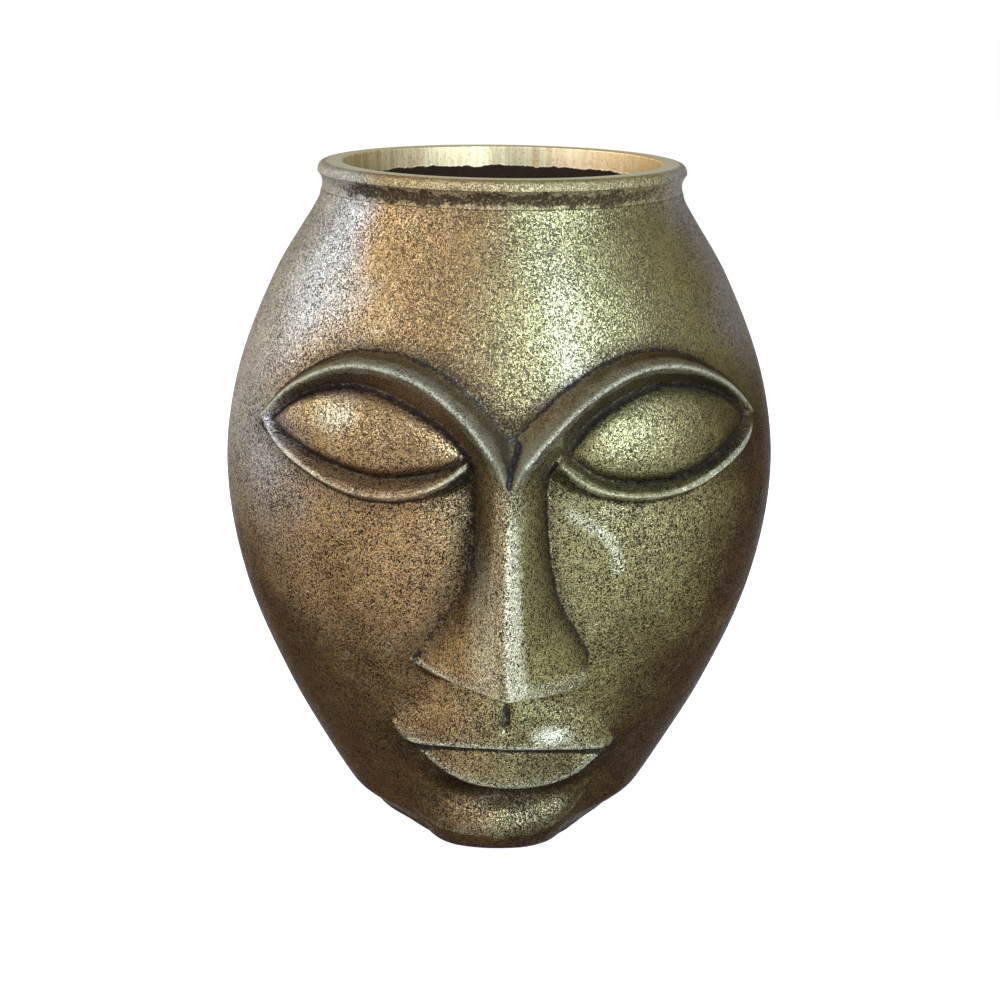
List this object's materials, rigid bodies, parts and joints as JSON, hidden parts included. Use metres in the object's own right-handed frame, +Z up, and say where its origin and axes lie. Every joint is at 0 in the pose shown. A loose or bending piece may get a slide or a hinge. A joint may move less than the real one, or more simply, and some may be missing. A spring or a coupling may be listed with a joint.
{
  "type": "vase",
  "caption": "Egg-shaped cast metal vase with a stylised closed-eyed face carved on its front, a turned mouth ring and a flat base plate on felt pads.",
  "frame": {"origin": "under the middle of the vase, on the surface that it stands on", "axes": "+Z up through the mouth, -Y out of the face, +X to the right for someone who looks at the face"},
  "size_m": [0.203, 0.2104, 0.253],
  "materials": {
    "cast_metal": "rough sand-cast metal in antique brass, dark brown patina in the pits and grooves, worn bright on the ridges",
    "turned_metal": "turned and brushed metal in antique brass, bright on the lip",
    "felt": "dark felt"
  },
  "bodies": {
    "root": {"face_shell": "cast_metal", "back_shell": "cast_metal", "base_plate": "cast_metal", "mouth_ring": "turned_metal", "foot_pad_front_left": "felt", "foot_pad_front_right": "felt", "foot_pad_back_left": "felt", "foot_pad_back_right": "felt"}
  },
  "joints": []
}
